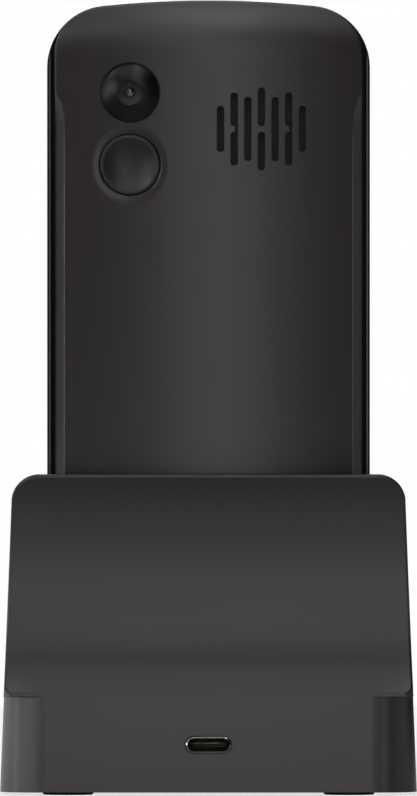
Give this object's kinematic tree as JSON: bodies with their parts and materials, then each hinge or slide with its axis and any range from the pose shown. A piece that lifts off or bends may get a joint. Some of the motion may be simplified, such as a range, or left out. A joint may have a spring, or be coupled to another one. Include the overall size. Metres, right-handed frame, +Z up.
{
  "type": "mobile phone",
  "caption": "Keypad bar phone with a rear camera, round emergency button and slotted speaker grille, standing in a desk charging cradle with a USB-C socket.",
  "frame": {"origin": "on the table under the middle of the cradle, at the bottom of its rubber feet", "axes": "+Z up; +Y from the screen towards the back of the phone, the side the picture shows; +X to the left of the picture, which is the side of the camera"},
  "size_m": [0.0826, 0.053, 0.1575],
  "materials": {
    "charcoal_cover": "fine satin texture, charcoal",
    "charcoal_frame": "satin, charcoal",
    "charcoal_front": "satin, charcoal",
    "charcoal_cradle": "fine satin texture, charcoal",
    "key_plastic": "soft-touch grey",
    "gloss_black": "gloss black",
    "clear_glass": "clear, polished",
    "black_plastic": "moulded black",
    "dome_film": "translucent film over metal domes",
    "board_laminate": "green solder mask",
    "steel": "plated",
    "battery_case": "drawn case",
    "mesh_cloth": "woven black mesh",
    "foam": "closed-cell foam",
    "gilt_brass": "gilt",
    "foot_rubber": "matt rubber"
  },
  "bodies": {
    "cradle": {"cradle_shell": "charcoal_cradle", "cradle_base_cover": "black_plastic", "cradle_feet": "foot_rubber", "cradle_screws": "steel", "cradle_board": "board_laminate", "cradle_usb_shell": "steel", "cradle_usb_tongue": "black_plastic", "contact_block": "black_plastic", "contact_barrels": "gilt_brass"},
    "phone": {"rear_cover": "charcoal_cover", "chassis_frame": "charcoal_frame", "front_housing": "charcoal_front", "camera_bezel": "gloss_black", "display_panel": "gloss_black", "display_window": "clear_glass", "camera_window": "clear_glass", "camera_lens": "clear_glass", "battery_terminals": "black_plastic", "earpiece": "black_plastic", "camera_module": "black_plastic", "sos_switch": "black_plastic", "loudspeaker": "black_plastic", "phone_usb_tongue": "black_plastic", "keypad_sheet": "dome_film", "main_board": "board_laminate", "board_shield": "steel", "sim_socket": "steel", "vibration_motor": "steel", "microphone": "steel", "phone_usb_shell": "steel", "housing_screws": "steel", "battery": "battery_case", "earpiece_mesh": "mesh_cloth", "speaker_mesh": "mesh_cloth", "speaker_gasket": "foam", "charge_pads": "gilt_brass"},
    "key_1": {"key_1": "key_plastic"},
    "key_2": {"key_2": "key_plastic"},
    "key_3": {"key_3": "key_plastic"},
    "key_4": {"key_4": "key_plastic"},
    "key_5": {"key_5": "key_plastic"},
    "key_6": {"key_6": "key_plastic"},
    "key_7": {"key_7": "key_plastic"},
    "key_8": {"key_8": "key_plastic"},
    "key_9": {"key_9": "key_plastic"},
    "key_star": {"key_star": "key_plastic"},
    "key_0": {"key_0": "key_plastic"},
    "key_hash": {"key_hash": "key_plastic"},
    "soft_key_left": {"soft_key_left": "key_plastic"},
    "soft_key_right": {"soft_key_right": "key_plastic"},
    "call_key": {"call_key": "key_plastic"},
    "end_key": {"end_key": "key_plastic"},
    "nav_rocker": {"nav_rocker": "key_plastic"},
    "sos_button": {"sos_button": "charcoal_cover"},
    "contact_pin_left": {"contact_pin_left": "gilt_brass"},
    "contact_pin_right": {"contact_pin_right": "gilt_brass"}
  },
  "joints": [
    {"name": "phone_lift", "type": "slide", "parent": "cradle", "child": "phone", "axis": [0, 0.0262, 0.9997], "range_m": [0, 0.05]},
    {"name": "key_1_press", "type": "slide", "parent": "phone", "child": "key_1", "axis": [0, 0.9997, -0.0262], "range_m": [0, 0.0004], "stiffness_N_per_m": 400},
    {"name": "key_2_press", "type": "slide", "parent": "phone", "child": "key_2", "axis": [0, 0.9997, -0.0262], "range_m": [0, 0.0004], "stiffness_N_per_m": 400},
    {"name": "key_3_press", "type": "slide", "parent": "phone", "child": "key_3", "axis": [0, 0.9997, -0.0262], "range_m": [0, 0.0004], "stiffness_N_per_m": 400},
    {"name": "key_4_press", "type": "slide", "parent": "phone", "child": "key_4", "axis": [0, 0.9997, -0.0262], "range_m": [0, 0.0004], "stiffness_N_per_m": 400},
    {"name": "key_5_press", "type": "slide", "parent": "phone", "child": "key_5", "axis": [0, 0.9997, -0.0262], "range_m": [0, 0.0004], "stiffness_N_per_m": 400},
    {"name": "key_6_press", "type": "slide", "parent": "phone", "child": "key_6", "axis": [0, 0.9997, -0.0262], "range_m": [0, 0.0004], "stiffness_N_per_m": 400},
    {"name": "key_7_press", "type": "slide", "parent": "phone", "child": "key_7", "axis": [0, 0.9997, -0.0262], "range_m": [0, 0.0004], "stiffness_N_per_m": 400},
    {"name": "key_8_press", "type": "slide", "parent": "phone", "child": "key_8", "axis": [0, 0.9997, -0.0262], "range_m": [0, 0.0004], "stiffness_N_per_m": 400},
    {"name": "key_9_press", "type": "slide", "parent": "phone", "child": "key_9", "axis": [0, 0.9997, -0.0262], "range_m": [0, 0.0004], "stiffness_N_per_m": 400},
    {"name": "key_star_press", "type": "slide", "parent": "phone", "child": "key_star", "axis": [0, 0.9997, -0.0262], "range_m": [0, 0.0004], "stiffness_N_per_m": 400},
    {"name": "key_0_press", "type": "slide", "parent": "phone", "child": "key_0", "axis": [0, 0.9997, -0.0262], "range_m": [0, 0.0004], "stiffness_N_per_m": 400},
    {"name": "key_hash_press", "type": "slide", "parent": "phone", "child": "key_hash", "axis": [0, 0.9997, -0.0262], "range_m": [0, 0.0004], "stiffness_N_per_m": 400},
    {"name": "soft_key_left_press", "type": "slide", "parent": "phone", "child": "soft_key_left", "axis": [0, 0.9997, -0.0262], "range_m": [0, 0.0004], "stiffness_N_per_m": 400},
    {"name": "soft_key_right_press", "type": "slide", "parent": "phone", "child": "soft_key_right", "axis": [0, 0.9997, -0.0262], "range_m": [0, 0.0004], "stiffness_N_per_m": 400},
    {"name": "call_key_press", "type": "slide", "parent": "phone", "child": "call_key", "axis": [0, 0.9997, -0.0262], "range_m": [0, 0.0004], "stiffness_N_per_m": 400},
    {"name": "end_key_press", "type": "slide", "parent": "phone", "child": "end_key", "axis": [0, 0.9997, -0.0262], "range_m": [0, 0.0004], "stiffness_N_per_m": 400},
    {"name": "nav_rocker_tilt", "type": "hinge", "parent": "phone", "child": "nav_rocker", "pos_m": [0, 0.00232, 0.07777], "axis": [1, 0, 0], "range_deg": [-3, 3], "stiffness_Nm_per_rad": 0.05},
    {"name": "sos_press", "type": "slide", "parent": "phone", "child": "sos_button", "axis": [-0.0976, -0.9949, 0.0261], "range_m": [0, 0.0006], "stiffness_N_per_m": 600},
    {"name": "contact_pin_left_press", "type": "slide", "parent": "cradle", "child": "contact_pin_left", "axis": [0, 0.0262, 0.9997], "range_m": [-0.0008, 0], "stiffness_N_per_m": 400},
    {"name": "contact_pin_right_press", "type": "slide", "parent": "cradle", "child": "contact_pin_right", "axis": [0, 0.0262, 0.9997], "range_m": [-0.0008, 0], "stiffness_N_per_m": 400}
  ]
}
